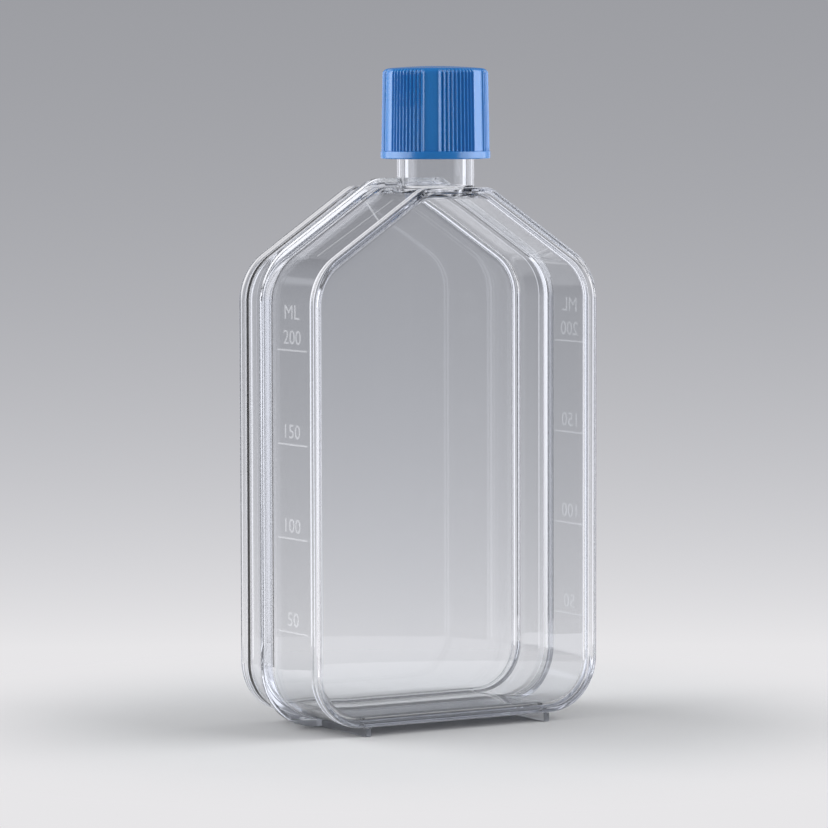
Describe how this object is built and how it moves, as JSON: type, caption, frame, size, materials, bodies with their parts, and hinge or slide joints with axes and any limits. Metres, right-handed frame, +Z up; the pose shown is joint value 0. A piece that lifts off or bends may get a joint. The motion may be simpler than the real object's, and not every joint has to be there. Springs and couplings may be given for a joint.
{
  "type": "cell culture flask",
  "caption": "Clear flat-sided flask with sloped shoulders, a welded seam flange, a straight neck and a ribbed screw cap, for growing cells under liquid medium.",
  "frame": {"origin": "centre of the footprint of the whole flask, cap included, on the plane that the feet stand on", "axes": "+X across the width, +Y from the front panel (the side nearer the neck) to the back, growth panel, +Z up along the neck"},
  "size_m": [0.082, 0.0388, 0.1555],
  "materials": {
    "clear_polystyrene": "water-clear, polished",
    "cap_blue": "satin, finely ribbed",
    "seal_white": "soft, matt"
  },
  "bodies": {
    "flask": {"front_shell": "clear_polystyrene", "back_shell": "clear_polystyrene"},
    "seal": {"cap_seal": "seal_white"},
    "cap": {"cap_shell": "cap_blue"}
  },
  "joints": [
    {"name": "cap_rise", "type": "slide", "parent": "flask", "child": "seal", "axis": [0, 0, 1], "range_m": [0, 0.0046]},
    {"name": "cap_turn", "type": "hinge", "parent": "seal", "child": "cap", "pos_m": [0, -0.0065, 0.14], "axis": [0, 0, 1], "range_deg": [0, 540]}
  ],
  "couplings": [
    {"joint": "cap_rise", "follows": "cap_turn", "m_per_rad": 0.00047746}
  ]
}
